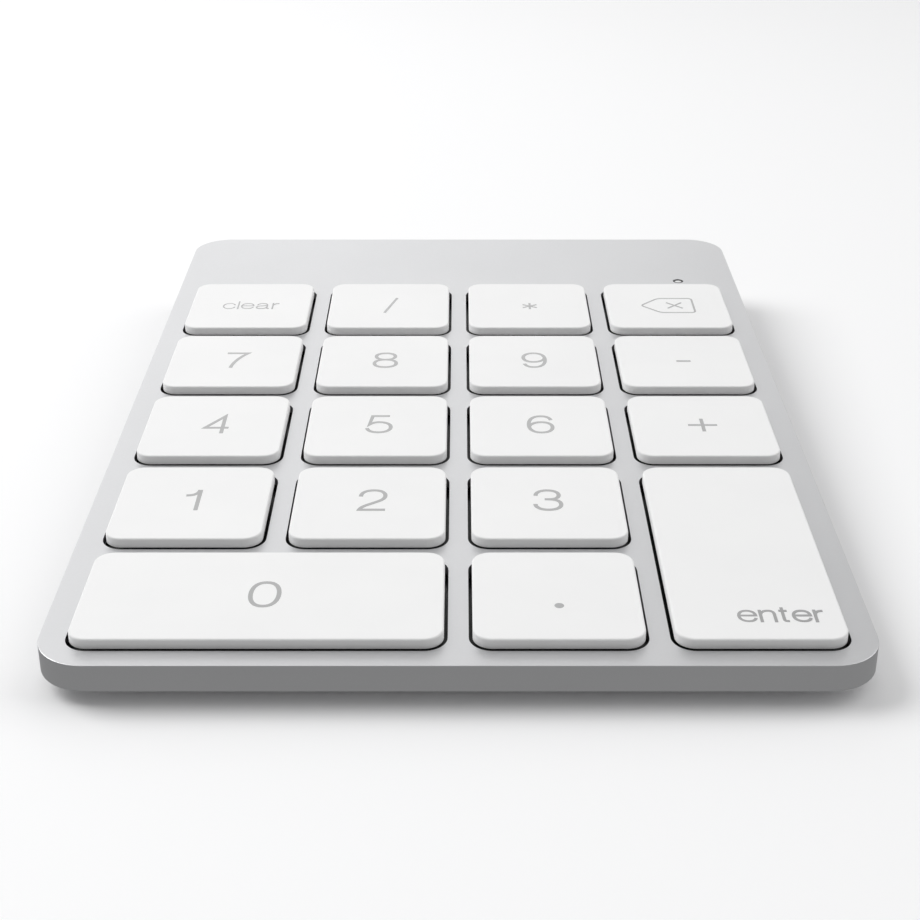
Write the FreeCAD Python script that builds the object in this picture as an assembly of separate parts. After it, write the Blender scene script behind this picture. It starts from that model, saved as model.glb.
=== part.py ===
"""Slim wireless numeric keypad: 18 low-profile keys on scissor links in a wedge-shaped aluminium case.

Two frames are used, both in millimetres:
  deck frame   X right, Y towards the rear, Z out of the deck; origin in the middle of the deck's top face.
  floor frame  X right, Y towards the rear, Z up; origin on the floor under the middle of the object.
Keys, links, plate and electronics are drawn in the deck frame, and what is parallel to the floor (the
bottom cover, its screws, the pairing button and the feet) in the floor frame. Every file is written in the
floor frame.
"""
import FreeCAD, Part
import math
import os

V = FreeCAD.Vector

# ---- case ----------------------------------------------------------------------------------------
CASE_WIDTH = 79.2
CASE_DEPTH = 116.8
CASE_CORNER = 5.0
CASE_WALL = 1.4
DECK_THICKNESS = 1.0
DECK_EDGE_ROUND = 0.06
RIM_ROUND = 0.35
DECK_TILT = 2.6                 # degrees, rear edge up
DECK_FRONT_HEIGHT = 4.4         # top of the deck's front edge above the floor
FRONT_WALL = 2.95               # height of the aluminium front wall

# ---- bottom cover and feet, heights above the floor ----------------------------------------------
COVER_UNDERSIDE = 1.25
COVER_THICKNESS = 0.8
COVER_CLEARANCE = 0.12
COVER_EDGE = 0.3
FOOT_RADIUS = 4.0
FOOT_RECESS = 0.35
FOOT_EDGE = 0.4
FEET = [(-30.0, -48.5), (30.0, -48.5), (-30.0, 46.5), (30.0, 46.5)]

# ---- key grid ------------------------------------------------------------------------------------
PITCH = 19.0
COLUMNS = 4
FRONT_ROW_INSET = 11.0          # from the case's front edge to the middle of the front row
KEY_SIZE = 16.3
KEY_CORNER = 1.9
KEY_GAP = 0.36                  # between a cap and its opening
KEY_TOP = 1.05                  # above the deck
KEY_SKIRT = 0.0                 # lower edge of the cap, level with the deck
KEY_WALL = 1.0
KEY_CEILING = 0.35
KEY_EDGE_ROUND = 0.2
KEY_TRAVEL = 1.0

# name, column from the left, row from the front, columns wide, rows deep
KEYS = [
    ("clear", 0, 4, 1, 1), ("divide", 1, 4, 1, 1), ("multiply", 2, 4, 1, 1), ("delete", 3, 4, 1, 1),
    ("7", 0, 3, 1, 1), ("8", 1, 3, 1, 1), ("9", 2, 3, 1, 1), ("subtract", 3, 3, 1, 1),
    ("4", 0, 2, 1, 1), ("5", 1, 2, 1, 1), ("6", 2, 2, 1, 1), ("add", 3, 2, 1, 1),
    ("1", 0, 1, 1, 1), ("2", 1, 1, 1, 1), ("3", 2, 1, 1, 1), ("enter", 3, 0, 1, 2),
    ("0", 0, 0, 2, 1), ("decimal", 2, 0, 1, 1),
]

# ---- switch module: plate, membrane, domes, scissor links, stabilisers ---------------------------
MEMBRANE_TOP = -1.9
MEMBRANE_THICKNESS = 0.15
PLATE_THICKNESS = 0.25
PLATE_TOP = MEMBRANE_TOP - MEMBRANE_THICKNESS
PLATE_BOTTOM = PLATE_TOP - PLATE_THICKNESS
MODULE_SIDE = 37.4
MODULE_FRONT = -56.4
MODULE_REAR = 38.9
MODULE_CORNER = 3.4

BAR_RADIUS = 0.35
BASE_BAR_Z = -1.45              # bars held by the plate's hooks
CAP_BAR_Z = -0.05               # bars held by the cap's clips, key up
LINK_THICKNESS = 0.6
OUTER_LENGTH = 9.2
OUTER_HALF_WIDTH = 5.2
OUTER_ARM = 1.2
INNER_LENGTH = 6.4
INNER_HALF_WIDTH = 3.75
INNER_ARM = 1.0
CROSS_PIN_RADIUS = 0.22
CROSS_HOLE_RADIUS = 0.28
CROSS_BOSS_RADIUS = 0.5
OUTER_PIVOT_Y = 4.6             # from the key's middle to the outer link's hinge on the plate

CLIP_WALL = 0.38
CLIP_CLEARANCE = 0.08
CLIP_LIP = 0.22
CLIP_WIDTH = 1.2
OUTER_CLIP_X = 3.2
INNER_CLIP_X = 1.6
OUTER_HOOK_X = 3.0
INNER_HOOK_X = 1.6
HOOK_WALL = 0.35
HOOK_LIP = 0.25
HOOK_LIP_CLEARANCE = 0.08
HOOK_WIDTH = 1.2
HINGE_PLAY = 0.1                # between a bar and its hook's wall, where the bar only turns
SLIDE_PLAY = 0.22               # and where it also slides

STABILISER_ARM = 5.0
STABILISER_HALF_SPAN = 13.0
STABILISER_PIN = 1.6
STABILISER_PIVOT = -1.2
STABILISER_BEND = 0.6
STABILISER_CLIP = 9.0

DOME_RADIUS = 2.5
DOME_WALL = 0.25

# ---- screws --------------------------------------------------------------------------------------
BOSS_RADIUS = 1.6
CASE_SCREWS = [(0.0, -37.9), (-19.0, -18.9), (19.0, -18.9), (-19.0, 19.1), (19.0, 19.1),
               (-34.8, 53.0), (34.8, 53.0)]
SCREW_RADIUS = 0.7
SCREW_CLEARANCE = 0.03
SCREW_HEAD_RADIUS = 1.25
SCREW_HEAD_HEIGHT = 0.42
SCREW_TIP = 3.8                 # height of the tip above the floor
PLATE_BOSS_RADIUS = 1.3
PLATE_SCREWS = [(-19.0, 0.1), (0.0, 0.1), (19.0, 0.1), (0.0, -18.9), (0.0, 19.1),
                (-19.0, 38.0), (0.0, 38.0), (19.0, 38.0)]
PLATE_SCREW_RADIUS = 0.5
PLATE_SCREW_LENGTH = 0.9        # into the boss

# ---- rear bay: board, battery, socket, switch, light ---------------------------------------------
BOARD_TOP = -5.4
BOARD_THICKNESS = 0.8
BOARD_X = (-7.0, 36.4)
BOARD_Y = (39.8, 55.8)
SOCKET_SIZE = (8.94, 3.26)
SOCKET_SHELL = 0.3
SOCKET_LENGTH = 7.3
SOCKET_INSET = 0.5
SOCKET_TONGUE = (6.7, 0.7, 4.6)
SOCKET_CUT_MARGIN = 0.16
SWITCH_X = 24.0
SWITCH_Z = -3.9
SWITCH_SLOT = (5.8, 2.3)
SWITCH_KNOB = (3.3, 1.9)
SWITCH_TRAVEL = 2.0
LIGHT_X = 31.5
LIGHT_Y = 40.54
LIGHT_HOLE_RADIUS = 0.75
LIGHT_RADIUS = 0.6
LIGHT_RECESS = 0.08
BATTERY_SIZE = (23.4, 15.2, 4.4)
BATTERY_MIDDLE = (-20.8, 47.8)
TAPE_THICKNESS = 0.4
LEAD_RADIUS = 0.4
TAIL_X = (10.5, 17.5)           # the membrane's tail
CONNECTOR_Y = (42.6, 46.2)
SWITCH_BODY_REAR = 1.95         # from the case's rear edge
PAIRING_X = 16.0
PAIRING_Y = 46.0
PAIRING_RADIUS = 1.95
PAIRING_FACE_INSET = 0.1        # of the button's face, from the cover's underside
PAIRING_FLANGE = (2.55, 0.18)   # radius, thickness
PAIRING_SWITCH = (3.2, 0.3)     # side, height below the board
BATTERY_EDGE_ROUND = 0.7
TAPE_MARGIN = 2.0               # of the tape inside the cell's outline
LEAD_ROWS = (46.6, 49.0)
LEAD_BEND = 1.2
LIGHT_FLANGE = (1.3, 0.4)       # radius, thickness, under the deck

# ---- derived -------------------------------------------------------------------------------------
SIN_TILT = math.sin(math.radians(DECK_TILT))
COS_TILT = math.cos(math.radians(DECK_TILT))
FRONT_EDGE = -CASE_DEPTH / 2
REAR_EDGE = CASE_DEPTH / 2
SWITCH_BODY_Y = (52.4, REAR_EDGE - SWITCH_BODY_REAR)
DECK_MIDDLE_HEIGHT = DECK_FRONT_HEIGHT + REAR_EDGE * SIN_TILT
RIM_HEIGHT = DECK_FRONT_HEIGHT - FRONT_WALL * COS_TILT
COVER_TOP = COVER_UNDERSIDE + COVER_THICKNESS
REAR_WALL = (DECK_FRONT_HEIGHT + CASE_DEPTH * SIN_TILT - RIM_HEIGHT) / COS_TILT
# The rear wall leans back with the deck, so the case is moved forward by half of what it gains there.
FORWARD_SHIFT = (REAR_WALL - RIM_ROUND) * SIN_TILT / 2
BOARD_BOTTOM = BOARD_TOP - BOARD_THICKNESS
FAR = 80.0                      # larger than the object
DECK_TO_FLOOR = FreeCAD.Placement(
    V(0, -FORWARD_SHIFT, DECK_MIDDLE_HEIGHT), FreeCAD.Rotation(V(1, 0, 0), DECK_TILT))
FLOOR_TO_DECK = DECK_TO_FLOOR.inverse()


# ---- basic shapes --------------------------------------------------------------------------------
def block(x, y, z):
    """A box between the given (low, high) limits."""
    return Part.makeBox(x[1] - x[0], y[1] - y[0], z[1] - z[0], V(x[0], y[0], z[0]))


def post(x, y, z, radius):
    """An upright cylinder between the (low, high) limits of z."""
    return Part.makeCylinder(radius, z[1] - z[0], V(x, y, z[0]))


def bar(x, y, z, radius):
    """A cylinder along X between the (low, high) limits of x."""
    return Part.makeCylinder(radius, x[1] - x[0], V(x[0], y, z), V(1, 0, 0))


def pad(x, y, z, corner):
    """A box with rounded upright edges."""
    plain = block(x, y, z)
    upright = [e for e in plain.Edges if abs(e.BoundBox.ZLength - (z[1] - z[0])) < 1e-6]
    return plain.makeFillet(corner, upright)


def centred_pad(width, depth, z, corner, middle=(0.0, 0.0)):
    return pad((middle[0] - width / 2, middle[0] + width / 2),
               (middle[1] - depth / 2, middle[1] + depth / 2), z, corner)


def stadium(width, height, y, middle_x, middle_z):
    """A slot shape with round ends, wide along X, running along Y."""
    radius = height / 2
    reach = width / 2 - radius
    ends = [Part.makeCylinder(radius, y[1] - y[0], V(middle_x + s * reach, y[0], middle_z), V(0, 1, 0))
            for s in (-1, 1)]
    core = block((middle_x - reach, middle_x + reach), y, (middle_z - radius, middle_z + radius))
    return core.fuse(ends).removeSplitter()


def edges_at(shape, level, tolerance=1e-4):
    """The edges that lie wholly at one height."""
    return [e for e in shape.Edges
            if abs(e.BoundBox.ZMin - level) < tolerance and abs(e.BoundBox.ZMax - level) < tolerance]


def turned(shape, angle, centre):
    """A copy turned about a line along X through centre; a positive angle lowers what lies in front of it."""
    copy = shape.copy()
    copy.rotate(centre, V(1, 0, 0), angle)
    return copy


def moved(shape, x, y):
    copy = shape.copy()
    copy.translate(V(x, y, 0))
    return copy


def to_floor(shape):
    """A deck-frame shape in the floor frame."""
    return placed(shape, DECK_TO_FLOOR)


def to_deck(shape):
    """A floor-frame shape in the deck frame."""
    return placed(shape, FLOOR_TO_DECK)


def placed(shape, placement):
    copy = shape.copy()
    copy.Placement = placement.multiply(copy.Placement)
    return copy


def floor_slab(low, high):
    """Everything between two heights above the floor, in the deck frame."""
    return to_deck(block((-FAR, FAR), (-FAR, FAR), (low, high)))


def floor_point(x, y):
    """Where the upright line through the deck point (x, y) meets the floor."""
    return x, y * COS_TILT - FORWARD_SHIFT


# ---- where things are ----------------------------------------------------------------------------
def key_middle(column, row, wide, deep):
    x = (column + (wide - 1) / 2 - (COLUMNS - 1) / 2) * PITCH
    y = FRONT_EDGE + FRONT_ROW_INSET + (row + (deep - 1) / 2) * PITCH
    return x, y


def key_size(wide, deep):
    return KEY_SIZE + (wide - 1) * PITCH, KEY_SIZE + (deep - 1) * PITCH


def link_angle(length, key_down=0.0):
    """Slope of a link, in degrees, with the key pressed by key_down."""
    return math.degrees(math.asin((CAP_BAR_Z - BASE_BAR_Z - key_down) / length))


def link_reach(length, key_down=0.0):
    """How far a link's ends lie apart along the deck."""
    return length * math.cos(math.radians(link_angle(length, key_down)))


# ---- hooks of the plate and clips of the caps ----------------------------------------------------
def hook(x, bar_y, side, play=HINGE_PLAY):
    """A lance of the plate that holds a bar down; its wall stands on the given side of the bar (+1 rear)."""
    near = bar_y + side * (BAR_RADIUS + play)
    far = near + side * HOOK_WALL
    lip_end = bar_y - side * 0.15
    lip_low = BASE_BAR_Z + BAR_RADIUS + HOOK_LIP_CLEARANCE
    span = (x - HOOK_WIDTH / 2, x + HOOK_WIDTH / 2)
    wall = block(span, sorted((near, far)), (PLATE_TOP - 0.1, lip_low + HOOK_LIP))
    lip = block(span, sorted((lip_end, far)), (lip_low, lip_low + HOOK_LIP))
    return wall.fuse(lip)


def hook_window(x, bar_y, side, play=HINGE_PLAY):
    """The hole in the membrane that a hook stands in."""
    near = bar_y + side * (BAR_RADIUS + play - 0.1)
    far = near + side * (HOOK_WALL + 0.2)
    half = HOOK_WIDTH / 2 + 0.1
    return block((x - half, x + half), sorted((near, far)), (PLATE_TOP - 1, MEMBRANE_TOP + 1))


def clip(x, bar_y):
    """A clip under the cap's ceiling for a bar running along X; bar_y is the (low, high) of its travel."""
    front = bar_y[0] - BAR_RADIUS - CLIP_CLEARANCE
    rear = bar_y[1] + BAR_RADIUS + CLIP_CLEARANCE
    low = CAP_BAR_Z - BAR_RADIUS - CLIP_CLEARANCE
    span = (x - CLIP_WIDTH / 2, x + CLIP_WIDTH / 2)
    ceiling = KEY_CEILING + 0.1
    front_wall = block(span, (front - CLIP_WALL, front), (low - CLIP_LIP, ceiling))
    rear_wall = block(span, (rear, rear + CLIP_WALL), (low, ceiling))
    lip = block(span, (front - CLIP_WALL, front + BAR_RADIUS), (low - CLIP_LIP, low))
    return front_wall.fuse([rear_wall, lip])


def hook_places(wide, deep):
    """(x, bar_y, side, play) of a key's hooks from its middle: its scissor's, then its stabiliser's."""
    inner_y = inner_middle()[0] - link_reach(INNER_LENGTH) / 2
    scissor = [(s * OUTER_HOOK_X, OUTER_PIVOT_Y, 1) for s in (-1, 1)]
    scissor += [(s * INNER_HOOK_X, inner_y, -1, SLIDE_PLAY) for s in (-1, 1)]
    bars = []
    if wide > 1 or deep > 1:
        x = STABILISER_HALF_SPAN + STABILISER_PIN - HOOK_WIDTH / 2
        bars = [(s * x, STABILISER_PIVOT, 1) for s in (-1, 1)]
    return scissor, bars


def quarter_turn(shape, wanted):
    copy = shape.copy()
    if wanted:
        copy.rotate(V(0, 0, 0), V(0, 0, 1), 90)
    return copy


def inner_middle():
    """(y, z) of the pin where the two links of a scissor cross, key up."""
    y = OUTER_PIVOT_Y - link_reach(OUTER_LENGTH) / 2
    return y, (BASE_BAR_Z + CAP_BAR_Z) / 2


# ---- scissor links, stabilisers and domes, about a key's middle ----------------------------------
def ring(length, half_width, arm, boss_radius):
    """A flat link frame: its hinge bar at the origin, the other bar at -length along Y."""
    half = LINK_THICKNESS / 2
    pieces = [bar((-half_width, half_width), y, 0, BAR_RADIUS) for y in (0.0, -length)]
    for side in (-1, 1):
        span = sorted((side * half_width, side * (half_width - arm)))
        pieces.append(block(span, (-length, 0), (-half, half)))
        pieces.append(bar(span, -length / 2, 0, boss_radius))
    return pieces[0].fuse(pieces[1:]).removeSplitter()


def scissor_outer():
    """The longer link: hinged on the plate behind the key's middle, and sliding in the cap's front clips."""
    link = ring(OUTER_LENGTH, OUTER_HALF_WIDTH, OUTER_ARM, CROSS_BOSS_RADIUS)
    hole = bar((-OUTER_HALF_WIDTH - 1, OUTER_HALF_WIDTH + 1), -OUTER_LENGTH / 2, 0, CROSS_HOLE_RADIUS)
    link = turned(link.cut(hole), -link_angle(OUTER_LENGTH), V(0, 0, 0))
    link.translate(V(0, OUTER_PIVOT_Y, BASE_BAR_Z))
    return link


def scissor_inner():
    """The shorter link, inside the outer one: sliding in the front hooks, turning in the cap's rear clips."""
    link = ring(INNER_LENGTH, INNER_HALF_WIDTH, INNER_ARM, CROSS_PIN_RADIUS)
    pins = [bar(sorted((s * (INNER_HALF_WIDTH - 0.1), s * (OUTER_HALF_WIDTH - 0.2))), -INNER_LENGTH / 2, 0,
                CROSS_PIN_RADIUS) for s in (-1, 1)]
    link = link.fuse(pins).removeSplitter()
    link.translate(V(0, INNER_LENGTH / 2, 0))
    link = turned(link, link_angle(INNER_LENGTH), V(0, 0, 0))
    middle_y, middle_z = inner_middle()
    link.translate(V(0, middle_y, middle_z))
    return link


def stabiliser():
    """A bent wire: end pins in the plate's hooks, two arms, and a long bar in clips along the cap's edge."""
    far_y = STABILISER_PIVOT - link_reach(STABILISER_ARM)
    tip = STABILISER_HALF_SPAN + STABILISER_PIN
    span = STABILISER_HALF_SPAN
    corners = [V(-tip, STABILISER_PIVOT, BASE_BAR_Z), V(-span, STABILISER_PIVOT, BASE_BAR_Z),
               V(-span, far_y, CAP_BAR_Z), V(span, far_y, CAP_BAR_Z),
               V(span, STABILISER_PIVOT, BASE_BAR_Z), V(tip, STABILISER_PIVOT, BASE_BAR_Z)]
    return tube(corners, STABILISER_BEND, BAR_RADIUS)


def tube(corners, bend, radius):
    """A round wire along straight runs that are joined by arcs of the given bend radius."""
    edges = []
    start = corners[0]
    for before, corner, after in zip(corners, corners[1:], corners[2:]):
        way_in = (corner - before).normalize()
        way_out = (after - corner).normalize()
        turn = way_in.getAngle(way_out)
        setback = bend * math.tan(turn / 2)
        arc_start = corner - way_in * setback
        arc_end = corner + way_out * setback
        inward = (way_out - way_in).normalize()
        centre = corner + inward * (bend / math.cos(turn / 2))
        middle = centre - inward * bend
        edges.append(Part.LineSegment(start, arc_start).toShape())
        edges.append(Part.Arc(arc_start, middle, arc_end).toShape())
        start = arc_end
    edges.append(Part.LineSegment(start, corners[-1]).toShape())
    path = Part.Wire(edges)
    section = Part.Wire(Part.makeCircle(radius, corners[0], corners[1] - corners[0]))
    return path.makePipeShell([section], True, False)


def dome():
    """A silicone dome: a foot ring, a conical wall that buckles, and a plug under the cap's ceiling."""
    base = MEMBRANE_TOP
    top = KEY_CEILING - 0.05
    outline = [(DOME_RADIUS, base), (DOME_RADIUS, base + 0.3), (1.9, base + 0.45), (1.25, top - 0.55),
               (1.15, top), (0.0, top), (0.0, base + 0.95), (0.55, base + 0.95), (0.6, top - 0.6 - DOME_WALL),
               (1.0, top - 0.6 - DOME_WALL), (1.9 - DOME_WALL, base + 0.35), (1.9 - DOME_WALL, base)]
    points = [V(r, 0, z) for r, z in outline]
    face = Part.Face(Part.makePolygon(points + points[:1]))
    return face.revolve(V(0, 0, 0), V(0, 0, 1), 360)


# ---- caps ----------------------------------------------------------------------------------------
def keycap(wide, deep):
    """A shallow cap, open below, with clips for its scissor link and, on a double key, for its stabiliser."""
    width, depth = key_size(wide, deep)
    cap = centred_pad(width, depth, (KEY_SKIRT, KEY_TOP), KEY_CORNER)
    cap = cap.makeFillet(KEY_EDGE_ROUND, edges_at(cap, KEY_TOP))
    hollow = centred_pad(width - 2 * KEY_WALL, depth - 2 * KEY_WALL, (KEY_SKIRT - 1, KEY_CEILING),
                         KEY_CORNER - KEY_WALL)
    cap = cap.cut(hollow)
    up, down = 0.0, KEY_TRAVEL
    outer_y = sorted(OUTER_PIVOT_Y - link_reach(OUTER_LENGTH, d) for d in (up, down))
    inner_y = inner_middle()[0] + link_reach(INNER_LENGTH) / 2
    clips = [clip(s * OUTER_CLIP_X, outer_y) for s in (-1, 1)]
    clips += [clip(s * INNER_CLIP_X, (inner_y, inner_y + 0.03)) for s in (-1, 1)]
    if wide > 1 or deep > 1:
        wire_y = sorted(STABILISER_PIVOT - link_reach(STABILISER_ARM, d) for d in (up, down))
        clips += [quarter_turn(clip(s * STABILISER_CLIP, wire_y), deep > 1) for s in (-1, 1)]
    return cap.fuse(clips).removeSplitter()


# ---- case and cover ------------------------------------------------------------------------------
def upright_at(x, y, heights, radius):
    """A cylinder square to the floor through deck point (x, y), between two heights, in the deck frame."""
    return to_deck(post(*floor_point(x, y), heights, radius))


def top_case():
    """The one-piece aluminium top: deck with a key grid, side walls down to a rim parallel to the floor."""
    case = centred_pad(CASE_WIDTH, CASE_DEPTH, (-FAR / 4, 0), CASE_CORNER)
    case = case.makeFillet(DECK_EDGE_ROUND, edges_at(case, 0))
    case = to_floor(case.cut(floor_slab(-FAR, RIM_HEIGHT)))
    case = to_deck(case.makeFillet(RIM_ROUND, edges_at(case, RIM_HEIGHT)))
    inner_width = CASE_WIDTH - 2 * CASE_WALL
    inner_depth = CASE_DEPTH - 2 * CASE_WALL
    case = case.cut(centred_pad(inner_width, inner_depth, (-FAR / 4, -DECK_THICKNESS),
                                CASE_CORNER - CASE_WALL))

    under_deck = -DECK_THICKNESS + 0.2
    posts = [post(x, y, (PLATE_TOP, under_deck), PLATE_BOSS_RADIUS) for x, y in PLATE_SCREWS]
    tall = [upright_at(x, y, (COVER_TOP + 0.05, FAR), BOSS_RADIUS) for x, y in CASE_SCREWS]
    below_deck = block((-FAR, FAR), (-FAR, FAR), (-FAR, under_deck))
    case = case.fuse(posts + [t.common(below_deck) for t in tall])

    cuts = []
    for _, column, row, wide, deep in KEYS:
        width, depth = key_size(wide, deep)
        cuts.append(centred_pad(width + 2 * KEY_GAP, depth + 2 * KEY_GAP, (-DECK_THICKNESS - 0.5, 1),
                                KEY_CORNER + KEY_GAP, key_middle(column, row, wide, deep)))
    cuts.append(post(LIGHT_X, LIGHT_Y, (-2, 1), LIGHT_HOLE_RADIUS))
    through_rear = (REAR_EDGE - CASE_WALL - 1, REAR_EDGE + 1)
    margin = 2 * SOCKET_CUT_MARGIN
    cuts.append(stadium(SOCKET_SIZE[0] + margin, SOCKET_SIZE[1] + margin, through_rear, 0, socket_height()))
    cuts.append(stadium(*SWITCH_SLOT, through_rear, SWITCH_X, SWITCH_Z))
    for x, y in PLATE_SCREWS:
        hole = PLATE_SCREW_RADIUS + SCREW_CLEARANCE
        cuts.append(post(x, y, (PLATE_TOP - 0.5, PLATE_TOP + PLATE_SCREW_LENGTH + 0.1), hole))
    for x, y in CASE_SCREWS:
        cuts.append(upright_at(x, y, (COVER_TOP - 0.5, SCREW_TIP + 0.15), SCREW_RADIUS + SCREW_CLEARANCE))
    return case.cut(cuts)


def bottom_cover():
    """The moulded floor of the case, with sunk screw holes, foot recesses and posts under the board."""
    gap = 2 * (CASE_WALL + COVER_CLEARANCE)
    cover = centred_pad(CASE_WIDTH - gap, CASE_DEPTH - gap, (-FAR / 4, 0),
                        CASE_CORNER - CASE_WALL - COVER_CLEARANCE)
    cover = to_floor(cover.common(floor_slab(COVER_UNDERSIDE, COVER_TOP)))
    cover = cover.makeChamfer(COVER_EDGE, edges_at(cover, COVER_UNDERSIDE))
    cover = to_deck(cover)
    above = floor_slab(COVER_UNDERSIDE + 0.3, FAR)
    board_posts = [post(x, y, (-FAR / 4, BOARD_BOTTOM), 1.2).common(above)
                   for x, y in ((-4.8, 42.0), (33.6, 46.5), (9.0, 53.6))]
    cover = cover.fuse(board_posts)
    cuts = []
    for x, y in CASE_SCREWS:
        cuts.append(upright_at(x, y, (0, COVER_TOP + 0.5), SCREW_RADIUS + 0.15))
        cuts.append(upright_at(x, y, (0, COVER_UNDERSIDE + SCREW_HEAD_HEIGHT + 0.05),
                               SCREW_HEAD_RADIUS + 0.2))
    for x, y in FEET:
        cuts.append(upright_at(x, y, (0, COVER_UNDERSIDE + FOOT_RECESS), FOOT_RADIUS + 0.1))
    cuts.append(upright_at(PAIRING_X, PAIRING_Y, (0, COVER_TOP + 0.5), PAIRING_RADIUS + 0.12))
    return cover.cut(cuts)


def rubber_feet():
    """Four round feet, each sunk into its recess in the cover."""
    feet = []
    for x, y in FEET:
        foot = post(*floor_point(x, y), (0, COVER_UNDERSIDE + FOOT_RECESS), FOOT_RADIUS)
        feet.append(to_deck(foot.makeFillet(FOOT_EDGE, edges_at(foot, 0))))
    return feet


def cross_recess(x, y, low, high):
    """The cross slot of a screw head, between two heights."""
    arm, half = 0.75, 0.16
    return block((x - arm, x + arm), (y - half, y + half), (low, high)).fuse(
        block((x - half, x + half), (y - arm, y + arm), (low, high)))


def case_screws():
    """Screws from below, through the cover and into the case's posts."""
    screws = []
    for x, y in CASE_SCREWS:
        at = floor_point(x, y)
        head_top = COVER_UNDERSIDE + 0.05 + SCREW_HEAD_HEIGHT
        head = post(*at, (COVER_UNDERSIDE + 0.05, head_top), SCREW_HEAD_RADIUS)
        head = head.makeFillet(0.15, edges_at(head, COVER_UNDERSIDE + 0.05))
        screw = head.fuse(post(*at, (head_top - 0.1, SCREW_TIP), SCREW_RADIUS))
        screws.append(to_deck(screw.cut(cross_recess(*at, 0, COVER_UNDERSIDE + 0.3))))
    return screws


def plate_screws():
    """Short screws that hold the switch plate against the deck's posts."""
    screws = []
    for x, y in PLATE_SCREWS:
        head = post(x, y, (PLATE_BOTTOM - 0.4, PLATE_BOTTOM), 1.0)
        screw = head.fuse(post(x, y, (PLATE_BOTTOM - 0.1, PLATE_TOP + PLATE_SCREW_LENGTH),
                               PLATE_SCREW_RADIUS))
        screws.append(screw.cut(cross_recess(x, y, PLATE_BOTTOM - 1, PLATE_BOTTOM - 0.22)))
    return screws


# ---- switch module -------------------------------------------------------------------------------
def module_sheet(inset, z):
    return pad((-MODULE_SIDE + inset, MODULE_SIDE - inset), (MODULE_FRONT + inset, MODULE_REAR - inset), z,
               MODULE_CORNER)


def switch_plate():
    """A steel plate with two pairs of hooks under each key."""
    plate = module_sheet(0, (PLATE_BOTTOM, PLATE_TOP))
    hooks = []
    for _, column, row, wide, deep in KEYS:
        middle = key_middle(column, row, wide, deep)
        scissor, bars = hook_places(wide, deep)
        hooks += [moved(hook(*place), *middle) for place in scissor]
        hooks += [moved(quarter_turn(hook(*place), deep > 1), *middle) for place in bars]
    holes = [upright_at(x, y, (COVER_TOP, FAR), BOSS_RADIUS + 0.35) for x, y in CASE_SCREWS]
    holes += [post(x, y, (PLATE_BOTTOM - 1, PLATE_TOP + 1), PLATE_SCREW_RADIUS + 0.1)
              for x, y in PLATE_SCREWS]
    return plate.cut(holes).fuse(hooks)


def switch_membrane():
    """The printed contact sheet on the plate, with a tail that drops to the board's connector."""
    sheet = module_sheet(0.3, (PLATE_TOP, MEMBRANE_TOP))
    holes = []
    for _, column, row, wide, deep in KEYS:
        middle = key_middle(column, row, wide, deep)
        scissor, bars = hook_places(wide, deep)
        holes += [moved(hook_window(*place), *middle) for place in scissor]
        holes += [moved(quarter_turn(hook_window(*place), deep > 1), *middle) for place in bars]
    holes += [upright_at(x, y, (COVER_TOP, FAR), BOSS_RADIUS + 0.35) for x, y in CASE_SCREWS]
    holes += [post(x, y, (PLATE_TOP - 1, MEMBRANE_TOP + 1), PLATE_BOSS_RADIUS + 0.15)
              for x, y in PLATE_SCREWS]
    rear = MODULE_REAR - 0.3
    drop_end = BOARD_TOP + 0.75
    thickness = MEMBRANE_THICKNESS
    profile = [(rear - 0.5, PLATE_TOP), (rear + 0.5, PLATE_TOP), (41.5, drop_end), (CONNECTOR_Y[0], drop_end),
               (CONNECTOR_Y[0], drop_end + thickness), (41.58, drop_end + thickness),
               (rear + 0.58, MEMBRANE_TOP), (rear - 0.5, MEMBRANE_TOP)]
    points = [V(TAIL_X[0], y, z) for y, z in profile]
    tail = Part.Face(Part.makePolygon(points + points[:1])).extrude(V(TAIL_X[1] - TAIL_X[0], 0, 0))
    return sheet.fuse(tail).cut(holes)


# ---- electronics ---------------------------------------------------------------------------------
def main_board():
    board = pad(BOARD_X, BOARD_Y, (BOARD_BOTTOM, BOARD_TOP), 1.5)
    corner = upright_at(*CASE_SCREWS[-1], (0, FAR), BOSS_RADIUS + 0.5)
    return board.cut(corner)


def membrane_connector():
    """The clamp connector that takes the membrane's tail."""
    body = block((TAIL_X[0] - 1.2, TAIL_X[1] + 1.2), CONNECTOR_Y, (BOARD_TOP, BOARD_TOP + 1.3))
    latch = block((TAIL_X[0] - 0.4, TAIL_X[1] + 0.4), (CONNECTOR_Y[1] - 1.2, CONNECTOR_Y[1] - 0.3),
                  (BOARD_TOP + 1.2, BOARD_TOP + 1.5))
    return body.fuse(latch)


def radio_module():
    """The wireless module: a small carrier with a metal can on it."""
    carrier = block((6.4, 17.4), (47.6, 52.0), (BOARD_TOP, BOARD_TOP + 0.5))
    can = block((7.2, 14.4), (47.9, 51.7), (BOARD_TOP + 0.4, BOARD_TOP + 1.6))
    can = can.makeFillet(0.3, edges_at(can, BOARD_TOP + 1.6))
    return carrier.fuse(can)


def socket_height():
    return BOARD_TOP + SOCKET_SIZE[1] / 2


def usb_socket():
    """A charging socket of the reversible kind: an oval shell round a thin tongue."""
    width, height = SOCKET_SIZE
    mouth = REAR_EDGE - SOCKET_INSET
    back = mouth - SOCKET_LENGTH
    middle = socket_height()
    shell = stadium(width, height, (back, mouth), 0, middle)
    shell = shell.cut(stadium(width - 2 * SOCKET_SHELL, height - 2 * SOCKET_SHELL,
                              (back + 1.0, mouth + 1), 0, middle))
    tongue_width, tongue_height, tongue_length = SOCKET_TONGUE
    tongue = block((-tongue_width / 2, tongue_width / 2), (back + 0.5, back + 1.0 + tongue_length),
                   (middle - tongue_height / 2, middle + tongue_height / 2))
    return shell.fuse(tongue)


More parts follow.
